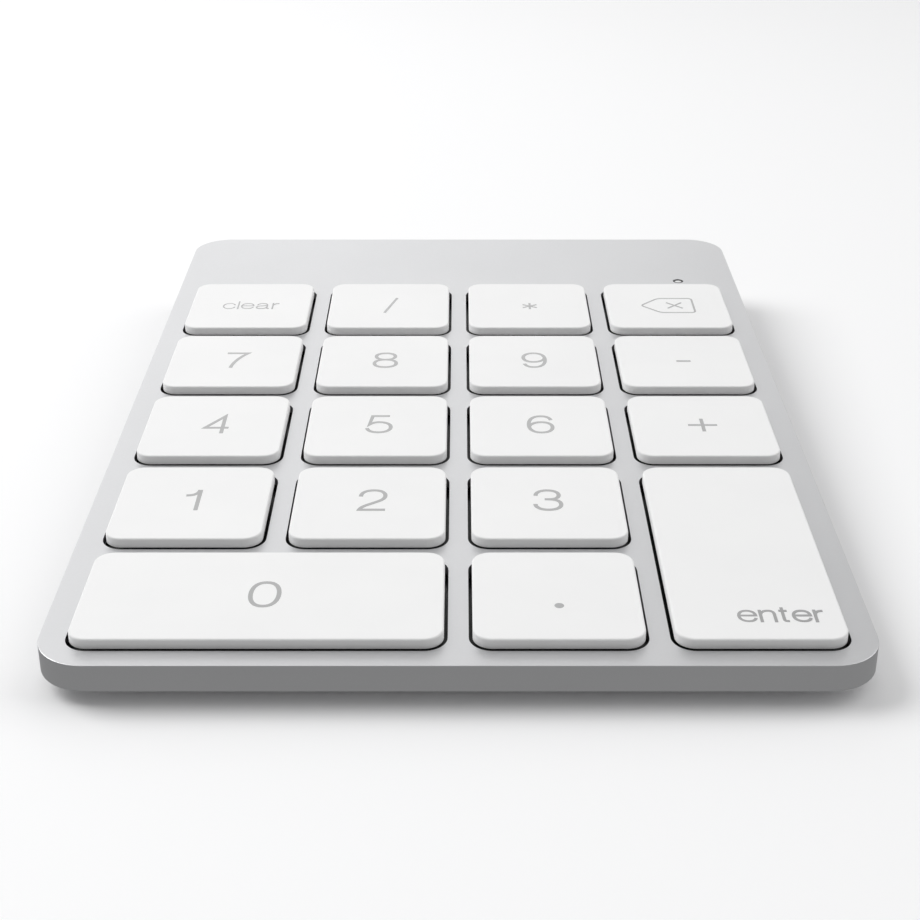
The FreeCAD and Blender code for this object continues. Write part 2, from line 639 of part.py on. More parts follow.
def power_switch_body():
    """The slide switch on the board, with a groove that its slider runs in."""
    body = block((SWITCH_X - 4.2, SWITCH_X + 4.2), SWITCH_BODY_Y, (BOARD_TOP, SWITCH_Z + 1.5))
    groove = block((SWITCH_X - 2.2, SWITCH_X + 2.2), (SWITCH_BODY_Y[1] - 1.4, SWITCH_BODY_Y[1] + 1),
                   (SWITCH_Z - 0.55, SWITCH_Z + 0.55))
    return body.cut(groove)


def power_switch_knob():
    """The slider: a stem in the switch, a blade behind the wall, a ribbed knob in the slot. Off at rest."""
    x = SWITCH_X - SWITCH_TRAVEL / 2
    width, height = SWITCH_KNOB
    wall_inside = REAR_EDGE - CASE_WALL
    blade_y = (wall_inside - 0.4, wall_inside - 0.1)
    half = SWITCH_SLOT[0] / 2 + SWITCH_TRAVEL / 2 - 0.1
    blade = block((x - half, x + half), blade_y, (SWITCH_Z - 1.4, SWITCH_Z + 1.4))
    stem = block((x - 0.9, x + 0.9), (SWITCH_BODY_Y[1] - 1.1, blade_y[0] + 0.1),
                 (SWITCH_Z - 0.4, SWITCH_Z + 0.4))
    knob = stadium(width, height, (blade_y[1] - 0.1, REAR_EDGE - 0.25), x, SWITCH_Z)
    grooves = [block((x + dx - 0.12, x + dx + 0.12), (REAR_EDGE - 0.4, REAR_EDGE),
                     (SWITCH_Z - 2, SWITCH_Z + 2))
               for dx in (-0.7, 0.0, 0.7)]
    return blade.fuse([stem, knob]).cut(grooves)


def status_led():
    return block((LIGHT_X - 0.8, LIGHT_X + 0.8), (LIGHT_Y - 0.4, LIGHT_Y + 0.4), (BOARD_TOP, BOARD_TOP + 0.6))


def status_light_guide():
    """A clear rod from the diode to just under the deck's surface, with a flange glued under the deck."""
    rod = post(LIGHT_X, LIGHT_Y, (BOARD_TOP + 0.7, -LIGHT_RECESS), LIGHT_RADIUS)
    radius, thickness = LIGHT_FLANGE
    flange = post(LIGHT_X, LIGHT_Y, (-DECK_THICKNESS - thickness, -DECK_THICKNESS), radius)
    return rod.fuse(flange)


def battery():
    """A flat pouch cell with a folded seam along its right-hand end."""
    width, depth, height = BATTERY_SIZE
    top = -DECK_THICKNESS - TAPE_THICKNESS
    x, y = BATTERY_MIDDLE
    cell = block((x - width / 2, x + width / 2), (y - depth / 2, y + depth / 2), (top - height, top))
    cell = cell.makeFillet(BATTERY_EDGE_ROUND, [e for e in cell.Edges if e.BoundBox.XLength > width - 1e-3])
    seam = block((x + width / 2 - 0.1, x + width / 2 + 0.8), (y - depth / 2 + 0.8, y + depth / 2 - 0.8),
                 (top - 0.6, top - 0.3))
    return cell.fuse(seam)


def battery_tape():
    width, depth, _ = BATTERY_SIZE
    return centred_pad(width - 2 * TAPE_MARGIN, depth - 2 * TAPE_MARGIN,
                       (-DECK_THICKNESS - TAPE_THICKNESS, -DECK_THICKNESS), 0.5, BATTERY_MIDDLE)


def battery_leads():
    """Two short wires from the cell's end down to the board."""
    end = BATTERY_MIDDLE[0] + BATTERY_SIZE[0] / 2
    level = -DECK_THICKNESS - TAPE_THICKNESS - BATTERY_SIZE[2] / 2
    landing = BOARD_X[0] + 1.6
    return [tube([V(end, y, level), V(landing, y, level), V(landing, y, BOARD_TOP)], LEAD_BEND, LEAD_RADIUS)
            for y in LEAD_ROWS]


def pairing_switch():
    """A low tactile switch on the board's underside."""
    side, height = PAIRING_SWITCH
    return centred_pad(side, side, (BOARD_BOTTOM - height, BOARD_BOTTOM), height, (PAIRING_X, PAIRING_Y))


def pairing_button():
    """The round button in the cover, its face a little inside the underside."""
    at = floor_point(PAIRING_X, PAIRING_Y)
    face = COVER_UNDERSIDE + PAIRING_FACE_INSET
    flange_radius, flange_thickness = PAIRING_FLANGE
    flange_low = COVER_TOP + 0.02
    stem = post(*at, (face, flange_low + 0.1), PAIRING_RADIUS)
    stem = stem.makeFillet(0.2, edges_at(stem, face))
    flange = post(*at, (flange_low, flange_low + flange_thickness), flange_radius)
    return to_deck(stem.fuse(flange))


# ---- files ---------------------------------------------------------------------------------------
def save(name, shape):
    """Writes one node, turned into the floor frame. A list is a group of separate solids."""
    whole = Part.makeCompound(shape) if isinstance(shape, list) else shape
    solids = [to_floor(s) for s in whole.Solids]
    result = solids[0] if len(solids) == 1 else Part.makeCompound(solids)
    result.exportStep(f"parts/{name}.step")


def main():
    os.makedirs("parts", exist_ok=True)
    outer, inner, rubber = scissor_outer(), scissor_inner(), dome()
    inners, domes = [], []
    caps = {}
    for name, column, row, wide, deep in KEYS:
        middle = key_middle(column, row, wide, deep)
        if (wide, deep) not in caps:
            caps[wide, deep] = keycap(wide, deep)
        save(f"keycap_{name}", moved(caps[wide, deep], *middle))
        save(f"scissor_outer_{name}", moved(outer, *middle))
        inners.append(moved(inner, *middle))
        domes.append(moved(rubber, *middle))
        if wide > 1 or deep > 1:
            save(f"stabiliser_bar_{name}", moved(quarter_turn(stabiliser(), deep > 1), *middle))
    save("scissor_inner_links", inners)
    save("rubber_domes", domes)
    for build in (top_case, bottom_cover, rubber_feet, case_screws, plate_screws, switch_plate, switch_membrane,
                  main_board, membrane_connector, radio_module, usb_socket, power_switch_body, power_switch_knob,
                  status_led, status_light_guide, battery, battery_tape, battery_leads, pairing_switch,
                  pairing_button):
        save(build.__name__, build())


if __name__ == "__main__":
    main()
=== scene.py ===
import bpy
import math
from mathutils import Matrix, Vector


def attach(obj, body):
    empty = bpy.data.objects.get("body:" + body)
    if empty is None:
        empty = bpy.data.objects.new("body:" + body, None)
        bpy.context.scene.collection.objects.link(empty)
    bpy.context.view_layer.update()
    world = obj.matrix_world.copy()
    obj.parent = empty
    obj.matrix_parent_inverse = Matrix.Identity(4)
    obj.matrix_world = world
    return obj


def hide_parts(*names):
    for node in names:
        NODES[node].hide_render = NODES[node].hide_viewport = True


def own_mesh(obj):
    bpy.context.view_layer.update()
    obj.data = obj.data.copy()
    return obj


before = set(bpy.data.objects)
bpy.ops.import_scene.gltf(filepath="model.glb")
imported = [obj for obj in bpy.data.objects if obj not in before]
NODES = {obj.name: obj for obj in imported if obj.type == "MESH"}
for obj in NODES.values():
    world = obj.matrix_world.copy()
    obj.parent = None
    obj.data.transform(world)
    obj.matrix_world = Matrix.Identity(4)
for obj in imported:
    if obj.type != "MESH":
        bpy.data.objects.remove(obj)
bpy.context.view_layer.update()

MM = 0.001

# ---- the deck frame, as the CAD has it: origin in the middle of the deck's top face -------------------
DECK_TILT = math.radians(2.6)
DECK_MIDDLE = (0.0, -0.1793, 7.0492)     # of that origin above the floor, mm
KEY_TOP = 1.05                           # above the deck
KEY_HALF = 8.15                          # half a key's width
KEY_HALF_LONG = 17.65                    # half a double key's length
PITCH = 19.0
FRONT_ROW = -47.4                        # middle of the front row
DECK = (Matrix.Translation(Vector(DECK_MIDDLE) * MM) @ Matrix.Rotation(DECK_TILT, 4, "X")
        @ Matrix.Scale(MM, 4))

# name, column from the left, row from the front, columns wide, rows deep
KEYS = [
    ("clear", 0, 4, 1, 1), ("divide", 1, 4, 1, 1), ("multiply", 2, 4, 1, 1), ("delete", 3, 4, 1, 1),
    ("7", 0, 3, 1, 1), ("8", 1, 3, 1, 1), ("9", 2, 3, 1, 1), ("subtract", 3, 3, 1, 1),
    ("4", 0, 2, 1, 1), ("5", 1, 2, 1, 1), ("6", 2, 2, 1, 1), ("add", 3, 2, 1, 1),
    ("1", 0, 1, 1, 1), ("2", 1, 1, 1, 1), ("3", 2, 1, 1, 1), ("enter", 3, 0, 1, 2),
    ("0", 0, 0, 2, 1), ("decimal", 2, 0, 1, 1),
]


def key_middle(column, row, wide, deep):
    return ((column + (wide - 1) / 2 - 1.5) * PITCH, FRONT_ROW + (row + (deep - 1) / 2) * PITCH)


# ---- camera -------------------------------------------------------------------------------------------
CAMERA_AT = (0.164, -188.88, 87.06)      # deck frame, mm
CAMERA_PITCH = math.radians(26.796)      # below the deck's plane
CAMERA_LENS = 66.44                      # mm
SENSOR_WIDTH = 36.0                      # mm
CLIP_START = 0.005                       # m
camera_data = bpy.data.cameras.new("camera")
camera_data.sensor_width = SENSOR_WIDTH
camera_data.lens = CAMERA_LENS
camera_data.clip_start = CLIP_START
camera = bpy.data.objects.new("camera", camera_data)
bpy.context.collection.objects.link(camera)
camera.location = DECK @ Vector(CAMERA_AT)
camera.rotation_euler = (math.pi / 2 - CAMERA_PITCH + DECK_TILT, 0, 0)
bpy.context.scene.camera = camera


# ---- materials ----------------------------------------------------------------------------------------
def new_material(name):
    material = bpy.data.materials.new(name)
    material.use_nodes = True
    return material, material.node_tree, material.node_tree.nodes["Principled BSDF"]


MOTTLE_DETAIL = 3.0
MOTTLE_RANGE = (0.3, 0.7)                # of the noise, spread over the two colours
GRAIN_DETAIL = 2.0
GRAIN_RANGE = (0.25, 0.75)               # of the noise, spread over the roughness range
NOISE_ROUGHNESS = 0.5
SUBSURFACE_RADIUS = (1.0, 0.9, 0.8)
SUBSURFACE_SCALE = 0.4                   # mm


def noise(tree, scale, detail, stretch=None):
    """A noise in object coordinates; stretch multiplies the coordinates before the scale."""
    node = tree.nodes.new("ShaderNodeTexNoise")
    node.inputs["Scale"].default_value = scale
    node.inputs["Detail"].default_value = detail
    node.inputs["Roughness"].default_value = NOISE_ROUGHNESS
    coordinates = tree.nodes.new("ShaderNodeTexCoord")
    source = coordinates.outputs["Object"]
    if stretch:
        mapping = tree.nodes.new("ShaderNodeMapping")
        mapping.inputs["Scale"].default_value = stretch
        tree.links.new(source, mapping.inputs["Vector"])
        source = mapping.outputs["Vector"]
    tree.links.new(source, node.inputs["Vector"])
    return node.outputs["Fac"]


def ramp(tree, fac, low, high, colours):
    """Maps fac from low..high to the two colours or numbers given."""
    node = tree.nodes.new("ShaderNodeValToRGB")
    node.color_ramp.elements[0].position = low
    node.color_ramp.elements[1].position = high
    for element, colour in zip(node.color_ramp.elements, colours):
        value = colour if isinstance(colour, tuple) else (colour,) * 3
        element.color = (*value, 1.0)
    tree.links.new(fac, node.inputs["Fac"])
    return node.outputs["Color"]


def bump(tree, shader, height, strength, distance):
    node = tree.nodes.new("ShaderNodeBump")
    node.inputs["Strength"].default_value = strength
    node.inputs["Distance"].default_value = distance
    tree.links.new(height, node.inputs["Height"])
    tree.links.new(node.outputs["Normal"], shader.inputs["Normal"])


def surface(name, colours, roughness, grain, metallic=0.0, depth=0.004, strength=0.3, stretch=None,
            mottle=60.0, specular=0.5, coat=0.0, subsurface=0.0):
    """A procedural finish: two close colours mottled together, a roughness range, a grain in the normal."""
    material, tree, shader = new_material(name)
    shader.inputs["Metallic"].default_value = metallic
    shader.inputs["Specular IOR Level"].default_value = specular
    shader.inputs["Coat Weight"].default_value = coat
    if subsurface:
        shader.inputs["Subsurface Weight"].default_value = subsurface
        shader.inputs["Subsurface Radius"].default_value = SUBSURFACE_RADIUS
        shader.inputs["Subsurface Scale"].default_value = SUBSURFACE_SCALE * MM
    mottling = noise(tree, mottle, MOTTLE_DETAIL)
    tree.links.new(ramp(tree, mottling, *MOTTLE_RANGE, colours), shader.inputs["Base Color"])
    grain_height = noise(tree, grain, GRAIN_DETAIL, stretch)
    tree.links.new(ramp(tree, grain_height, *GRAIN_RANGE, roughness), shader.inputs["Roughness"])
    bump(tree, shader, grain_height, strength, depth * MM)
    return material


KEYCAP = surface("keycap_satin", ((0.880, 0.880, 0.880), (0.900, 0.900, 0.898)), (0.42, 0.52), 5200.0,
                 depth=0.006, strength=0.35, specular=0.45, mottle=90.0)
DECK_METAL = surface("blasted_aluminium", ((0.705, 0.708, 0.718), (0.725, 0.728, 0.738)), (0.36, 0.46),
                     4200.0, metallic=1.0, depth=0.008, strength=0.4, mottle=45.0)
COVER = surface("cover_moulded", ((0.70, 0.70, 0.71), (0.73, 0.73, 0.735)), (0.50, 0.66), 3000.0,
                depth=0.02, strength=0.5)
FOOT = surface("foot_rubber", ((0.56, 0.56, 0.56), (0.62, 0.62, 0.61)), (0.70, 0.90), 2600.0, depth=0.03,
               strength=0.5, specular=0.3)
SCREW = surface("screw_zinc", ((0.50, 0.50, 0.52), (0.62, 0.62, 0.63)), (0.28, 0.45), 5000.0, metallic=1.0,
                mottle=400.0)
# plate, membrane and links are near-black: partly their own colour, partly painted shade so the gaps round the
# keys read dark
PLATE = surface("plate_black_coat_and_gap_shade", ((0.012, 0.012, 0.013), (0.020, 0.020, 0.021)), (0.50, 0.66), 2400.0,
                depth=0.01)
WIRE = surface("wire_drawn_steel", ((0.58, 0.58, 0.60), (0.66, 0.66, 0.67)), (0.22, 0.36), 1500.0,
               metallic=1.0, stretch=(0.3, 4.0, 4.0))
MEMBRANE = surface("membrane_black_film_and_gap_shade", ((0.010, 0.010, 0.011), (0.018, 0.018, 0.019)), (0.30, 0.42),
                   1500.0, mottle=500.0)
DOME = surface("dome_silicone", ((0.78, 0.78, 0.76), (0.84, 0.84, 0.82)), (0.55, 0.70), 2500.0,
               subsurface=0.3)
# near-black links: partly their own colour, partly painted shade in the gaps round the keys
LINK = surface("link_acetal", ((0.020, 0.020, 0.020), (0.032, 0.032, 0.032)), (0.32, 0.44), 3000.0)
BOARD = surface("board_mask", ((0.010, 0.075, 0.045), (0.020, 0.125, 0.075)), (0.25, 0.40), 1800.0,
                mottle=700.0, coat=0.4)
BLACK = surface("black_plastic", ((0.016, 0.016, 0.017), (0.026, 0.026, 0.027)), (0.45, 0.62), 3200.0)
SHIELD = surface("shield_tin", ((0.60, 0.60, 0.60), (0.70, 0.70, 0.69)), (0.26, 0.42), 1400.0, metallic=1.0)
SOCKET = surface("socket_steel", ((0.55, 0.55, 0.57), (0.66, 0.66, 0.67)), (0.20, 0.34), 2200.0, metallic=1.0,
                 stretch=(0.5, 5.0, 5.0))
KNOB = surface("knob_plastic", ((0.72, 0.72, 0.725), (0.76, 0.76, 0.76)), (0.40, 0.55), 3600.0)
DIODE = surface("diode_lens", ((0.75, 0.68, 0.35), (0.85, 0.80, 0.50)), (0.20, 0.35), 3000.0)
GUIDE = surface("guide_clear", ((0.70, 0.71, 0.71), (0.80, 0.80, 0.80)), (0.15, 0.30), 2600.0, specular=0.6)
CELL = surface("cell_foil", ((0.58, 0.59, 0.60), (0.70, 0.71, 0.72)), (0.28, 0.50), 420.0, metallic=1.0,
               depth=0.05)
TAPE = surface("tape_foam", ((0.62, 0.62, 0.62), (0.74, 0.74, 0.74)), (0.75, 0.95), 1500.0, depth=0.06)
LEAD = surface("lead_insulation", ((0.30, 0.012, 0.010), (0.42, 0.020, 0.016)), (0.30, 0.45), 2000.0)
INK = surface("legend_ink", ((0.345, 0.345, 0.348), (0.365, 0.365, 0.367)), (0.30, 0.38), 5200.0,
              depth=0.003, specular=1.0, coat=0.5)

FINISH = {
    "keycap_": KEYCAP, "scissor_": LINK, "stabiliser_": WIRE, "top_case": DECK_METAL, "bottom_cover": COVER,
    "rubber_feet": FOOT, "case_screws": SCREW, "plate_screws": SCREW, "switch_plate": PLATE,
    "switch_membrane": MEMBRANE, "rubber_domes": DOME, "main_board": BOARD, "membrane_connector": BLACK,
    "radio_module": SHIELD, "usb_socket": SOCKET, "power_switch_body": BLACK, "power_switch_knob": KNOB,
    "status_led": DIODE, "status_light_guide": GUIDE, "battery_tape": TAPE, "battery_leads": LEAD,
    "battery": CELL, "pairing_switch": BLACK, "pairing_button": KNOB,
}
for name, node in NODES.items():
    finish = next(material for start, material in FINISH.items() if name.startswith(start))
    if node.data.materials:
        for index in range(len(node.data.materials)):
            node.data.materials[index] = finish
    else:
        node.data.materials.append(finish)


# ---- pieces -------------------------------------------------------------------------------------------
def piece(name, vertices, faces, material, body, slot, matrix=DECK):
    """A mesh that rides on a CAD body; its vertices are in deck millimetres unless a matrix is given."""
    mesh = bpy.data.meshes.new(name)
    mesh.from_pydata([tuple(matrix @ Vector(v)) for v in vertices], [], faces)
    mesh.validate()
    mesh.update()
    mesh.materials.append(material)
    made = bpy.data.objects.new(name, mesh)
    bpy.context.collection.objects.link(made)
    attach(made, body)
    return made


# ---- legends: strokes of one width, drawn as thin solids on the caps ----------------------------------
STROKE = 0.45
INK_HEIGHT = 0.010                       # of a legend's first stroke above the cap
INK_STEP = 0.004                         # climb along a stroke and from one to the next, so that none are level
INK_DEPTH = 0.012                        # of a stroke's root in the cap
CURVE_STEPS = 9
DISC_STEPS = 28
LEAST_MITRE = 0.3                        # keeps the corner of a sharp turn short
SAME_POINT = 1e-6                        # mm, between the ends of a closed stroke


def bezier(start, a, b, end):
    for step in range(1, CURVE_STEPS + 1):
        t = step / CURVE_STEPS
        u = 1 - t
        yield tuple(u ** 3 * p + 3 * u * u * t * q + 3 * u * t * t * r + t ** 3 * s
                    for p, q, r, s in zip(start, a, b, end))


def centreline(points):
    """A stroke is a list: its first point, then points (a straight run) or triples of points (a curve)."""
    line = [points[0]]
    for item in points[1:]:
        if isinstance(item[0], tuple):
            line.extend(bezier(line[-1], *item))
        else:
            line.append(item)
    return line


def ribbon(line, width, height):
    """A closed prism round a centreline, with mitred corners, its top from a height up: (vertices, faces)."""
    closed = math.dist(line[0], line[-1]) < SAME_POINT
    if closed:
        line = line[:-1]
    count = len(line)
    sides = []
    for i, point in enumerate(line):
        before = line[i - 1] if (i or closed) else None
        after = line[(i + 1) % count] if (i < count - 1 or closed) else None
        ways = []
        for a, b in ((before, point), (point, after)):
            if a is not None and b is not None:
                length = math.dist(a, b)
                ways.append(((b[0] - a[0]) / length, (b[1] - a[1]) / length))
        normal = [sum(w[0] for w in ways), sum(w[1] for w in ways)]
        size = math.hypot(*normal)
        normal = (-normal[1] / size, normal[0] / size)
        reach = max(LEAST_MITRE, normal[0] * -ways[0][1] + normal[1] * ways[0][0])
        offset = width / 2 / reach
        sides.append(((point[0] + normal[0] * offset, point[1] + normal[1] * offset),
                      (point[0] - normal[0] * offset, point[1] - normal[1] * offset)))
    low, high = KEY_TOP - INK_DEPTH, KEY_TOP + height
    vertices = []
    for step, (left, right) in enumerate(sides):
        top = high + INK_STEP * step / count
        vertices += [(*left, top), (*right, top), (*right, low), (*left, low)]
    faces = []
    for i in range(count if closed else count - 1):
        a, b = 4 * i, 4 * ((i + 1) % count)
        for k in range(4):
            n = (k + 1) % 4
            faces.append((a + k, a + n, b + n, b + k))
    if not closed:
        last = 4 * (count - 1)
        faces += [(3, 2, 1, 0), (last, last + 1, last + 2, last + 3)]
    return vertices, faces


def disc(x, y, radius, steps=DISC_STEPS):
    low, high = KEY_TOP - INK_DEPTH, KEY_TOP + INK_HEIGHT
    angles = [2 * math.pi * i / steps for i in range(steps)]
    circle = [(x + radius * math.cos(angle), y + radius * math.sin(angle)) for angle in angles]
    vertices = [(*p, high) for p in circle] + [(*p, low) for p in circle]
    faces = [tuple(range(steps)), tuple(range(2 * steps - 1, steps - 1, -1))]
    faces += [(i, i + steps, (i + 1) % steps + steps, (i + 1) % steps) for i in range(steps)]
    return vertices, faces


SIX = [(0.63, 0.76), ((0.60, 0.92), (0.50, 1.0), (0.35, 1.0)), ((0.12, 1.0), (0.0, 0.80), (0.0, 0.46)),
       ((0.0, 0.16), (0.12, 0.0), (0.34, 0.0)), ((0.53, 0.0), (0.66, 0.13), (0.66, 0.32)),
       ((0.66, 0.51), (0.54, 0.63), (0.35, 0.63)), ((0.18, 0.63), (0.04, 0.52), (0.01, 0.36))]


def half_turn(stroke, width):
    return [tuple((width - p[0], 1 - p[1]) for p in item) if isinstance(item[0], tuple)
            else (width - item[0], 1 - item[1]) for item in stroke]


# Centrelines in a box one unit high; the number is the box's width.
GLYPHS = {
    "0": (0.66, [[(0.33, 1.0), ((0.10, 1.0), (0.0, 0.78), (0.0, 0.5)),
                  ((0.0, 0.22), (0.10, 0.0), (0.33, 0.0)),
                  ((0.56, 0.0), (0.66, 0.22), (0.66, 0.5)), ((0.66, 0.78), (0.56, 1.0), (0.33, 1.0))]]),
    "1": (0.34, [[(0.34, 0.0), (0.34, 1.045)],
                 [(0.0, 0.76), ((0.20, 0.76), (0.30, 0.84), (0.325, 1.04))]]),
    "2": (0.65, [[(0.01, 0.68), ((0.01, 0.88), (0.13, 1.0), (0.34, 1.0)),
                  ((0.53, 1.0), (0.64, 0.89), (0.64, 0.72)),
                  ((0.64, 0.52), (0.48, 0.44), (0.32, 0.33)), ((0.14, 0.21), (0.03, 0.13), (0.0, 0.0)),
                  (0.66, 0.0)]]),
    "3": (0.66, [[(0.02, 0.72), ((0.03, 0.90), (0.15, 1.0), (0.32, 1.0)),
                  ((0.50, 1.0), (0.62, 0.90), (0.62, 0.76)),
                  ((0.62, 0.61), (0.52, 0.535), (0.36, 0.535)), (0.25, 0.535)],
                 [(0.30, 0.535), ((0.54, 0.545), (0.66, 0.44), (0.66, 0.28)),
                  ((0.66, 0.10), (0.52, 0.0), (0.33, 0.0)),
                  ((0.13, 0.0), (0.0, 0.11), (0.0, 0.29))]]),
    "4": (0.67, [[(0.51, -0.045), (0.51, 1.0), (0.02, 0.29), (0.68, 0.29)]]),
    "5": (0.66, [[(0.61, 1.0), (0.13, 1.0), (0.055, 0.47), ((0.12, 0.57), (0.22, 0.62), (0.33, 0.62)),
                  ((0.53, 0.62), (0.66, 0.50), (0.66, 0.31)), ((0.66, 0.12), (0.52, 0.0), (0.32, 0.0)),
                  ((0.14, 0.0), (0.02, 0.09), (0.0, 0.25))]]),
    "6": (0.66, [SIX]),
    "7": (0.64, [[(0.0, 1.0), (0.64, 1.0), ((0.42, 0.74), (0.25, 0.38), (0.21, -0.045))]]),
    "8": (0.66, [[(0.33, 1.0), ((0.15, 1.0), (0.04, 0.90), (0.04, 0.77)),
                  ((0.04, 0.63), (0.16, 0.535), (0.33, 0.535)),
                  ((0.50, 0.535), (0.62, 0.63), (0.62, 0.77)), ((0.62, 0.90), (0.51, 1.0), (0.33, 1.0))],
                 [(0.33, 0.535), ((0.13, 0.535), (0.0, 0.43), (0.0, 0.27)),
                  ((0.0, 0.10), (0.13, 0.0), (0.33, 0.0)),
                  ((0.53, 0.0), (0.66, 0.10), (0.66, 0.27)), ((0.66, 0.43), (0.53, 0.535), (0.33, 0.535))]]),
    "9": (0.66, [half_turn(SIX, 0.66)]),
    "a": (0.92, [[(0.05, 0.68), ((0.07, 0.90), (0.20, 1.0), (0.41, 1.0)),
                  ((0.64, 1.0), (0.76, 0.90), (0.76, 0.68)),
                  (0.76, 0.16), ((0.76, 0.03), (0.80, 0.0), (0.92, 0.01))],
                 [(0.76, 0.62), ((0.62, 0.50), (0.0, 0.62), (0.0, 0.26)),
                  ((0.0, 0.10), (0.12, 0.0), (0.31, 0.0)),
                  ((0.56, 0.0), (0.76, 0.14), (0.76, 0.38))]]),
    "c": (0.84, [[(0.83, 0.66), ((0.80, 0.88), (0.65, 1.0), (0.45, 1.0)),
                  ((0.17, 1.0), (0.0, 0.80), (0.0, 0.5)),
                  ((0.0, 0.20), (0.17, 0.0), (0.44, 0.0)), ((0.66, 0.0), (0.81, 0.13), (0.84, 0.36))]]),
    "e": (0.86, [[(0.02, 0.54), (0.86, 0.54), ((0.86, 0.83), (0.70, 1.0), (0.44, 1.0)),
                  ((0.17, 1.0), (0.0, 0.80), (0.0, 0.5)), ((0.0, 0.20), (0.17, 0.0), (0.45, 0.0)),
                  ((0.66, 0.0), (0.80, 0.10), (0.85, 0.30))]]),
    "l": (0.0, [[(0.0, -0.10), (0.0, 1.42)]]),
    "n": (0.72, [[(0.0, -0.10), (0.0, 1.08)],
                 [(0.0, 0.56), ((0.02, 0.84), (0.18, 1.0), (0.40, 1.0)),
                  ((0.62, 1.0), (0.72, 0.88), (0.72, 0.66)),
                  (0.72, -0.10)]]),
    "r": (0.42, [[(0.0, -0.10), (0.0, 1.08)], [(0.0, 0.54), ((0.02, 0.84), (0.16, 1.0), (0.44, 0.97))]]),
    "t": (0.44, [[(0.18, 1.32), (0.18, 0.20), ((0.18, 0.03), (0.24, 0.0), (0.42, 0.01))],
                 [(0.0, 0.99), (0.42, 0.99)]]),
}


def word(text, height, gap, x, y, squeeze=1.0):
    """Strokes in mm of a row of glyphs of the given unit height; x is the left end, y the baseline."""
    wide = height * squeeze
    strokes = []
    for letter in text:
        width, lines = GLYPHS[letter]
        for line in lines:
            strokes.append([tuple((x + p[0] * wide, y + p[1] * height) for p in item)
                            if isinstance(item[0], tuple) else (x + item[0] * wide, y + item[1] * height)
                            for item in line])
        x += (width + gap) * wide
    return strokes


def word_width(text, height, gap):
    return (sum(GLYPHS[letter][0] for letter in text) + gap * (len(text) - 1)) * height


# All in mm, about a key's middle, before LEGEND_SHIFT.
DIGIT_HEIGHT = 4.4
DIGIT_WIDTH = 0.95                       # times the glyph's own
DIGIT_RAISE = {"4": 0.10, "5": 0.15, "6": 0.10, "1": 0.20, "2": 0.30, "3": 0.30, "0": -0.10}
DIGIT_SHIFT = {"1": -0.35, "2": 0.10, "3": -0.10, "6": -0.10, "9": -0.10}
SMALL_STROKE = 0.31
SMALL_HEIGHT = 1.86
SMALL_GAP = 0.26
CLEAR_STROKE = 0.20
CLEAR_GAP = 0.25
CLEAR_LEFT = 0.15                        # of the word's middle
CLEAR_BASE = -1.35
ENTER_MARGIN = 2.10                      # from the word's end to the key's right edge
ENTER_BASE = 3.15                        # from the key's front edge
DECIMAL_DOT = (0.0, -2.2, 0.46)          # x, y, radius
DIVIDE_STROKE = 0.36
DIVIDE_ENDS = [(-0.78, -2.85), (0.78, 2.60)]
MULTIPLY_STROKE = 0.30
MULTIPLY_ARM = 1.1
MULTIPLY_MIDDLE = -0.45
SUBTRACT_ENDS = [(-1.05, -0.3), (0.75, -0.3)]
ADD_STROKE = 0.42
ADD_BARS = [[(-1.82, -0.1), (1.58, -0.1)], [(-0.12, -1.80), (-0.12, 1.60)]]
DELETE_STROKE = 0.27
DELETE_OUTLINE = [(3.42, -2.80), (3.42, 2.40), (-1.25, 2.40), (-3.75, -0.20), (-1.25, -2.80)]
DELETE_CORNER = 0.55
DELETE_CROSS = [[(-0.18, -1.23), (1.88, 0.83)], [(-0.18, 0.83), (1.88, -1.23)]]
CORNER_HANDLE = 0.6                      # of the way from a rounded corner's end to the corner
LEGEND_SHIFT = 0.2                       # of every legend, to the right of its key's middle


def round_outline(corners, radius):
    """A closed stroke through the corners, each rounded."""
    stroke = []
    count = len(corners)
    for i, corner in enumerate(corners):
        points = []
        for other in (corners[i - 1], corners[(i + 1) % count]):
            length = math.dist(corner, other)
            points.append(tuple(c + (o - c) * radius / length for c, o in zip(corner, other)))
        handles = [tuple(p + (c - p) * CORNER_HANDLE for p, c in zip(point, corner)) for point in points]
        stroke += [points[0], (handles[0], handles[1], points[1])]
    return stroke + [stroke[0]]


def legend(name):
    """(strokes, stroke width, discs) of one key, about its middle."""
    if name.isdigit():
        left = -GLYPHS[name][0] * DIGIT_HEIGHT * DIGIT_WIDTH / 2 + DIGIT_SHIFT.get(name, 0)
        return word(name, DIGIT_HEIGHT, 0, left, DIGIT_RAISE.get(name, 0) - DIGIT_HEIGHT / 2,
                    DIGIT_WIDTH), STROKE, []
    if name == "decimal":
        return [], STROKE, [DECIMAL_DOT]
    if name == "clear":
        width = word_width(name, SMALL_HEIGHT, CLEAR_GAP)
        return word(name, SMALL_HEIGHT, CLEAR_GAP, -width / 2 - CLEAR_LEFT, CLEAR_BASE), CLEAR_STROKE, []
    if name == "enter":
        width = word_width(name, SMALL_HEIGHT, SMALL_GAP)
        left = KEY_HALF - ENTER_MARGIN - width
        return word(name, SMALL_HEIGHT, SMALL_GAP, left, -KEY_HALF_LONG + ENTER_BASE), SMALL_STROKE, []
    if name == "divide":
        return [DIVIDE_ENDS], DIVIDE_STROKE, []
    if name == "multiply":
        spokes = [(math.sin(k * math.pi / 3), math.cos(k * math.pi / 3)) for k in range(3)]
        strokes = [[(-MULTIPLY_ARM * a, MULTIPLY_MIDDLE - MULTIPLY_ARM * b),
                    (MULTIPLY_ARM * a, MULTIPLY_MIDDLE + MULTIPLY_ARM * b)] for a, b in spokes]
        return strokes, MULTIPLY_STROKE, []
    if name == "subtract":
        return [SUBTRACT_ENDS], STROKE, []
    if name == "add":
        return ADD_BARS, ADD_STROKE, []
    return [round_outline(DELETE_OUTLINE, DELETE_CORNER)] + DELETE_CROSS, DELETE_STROKE, []


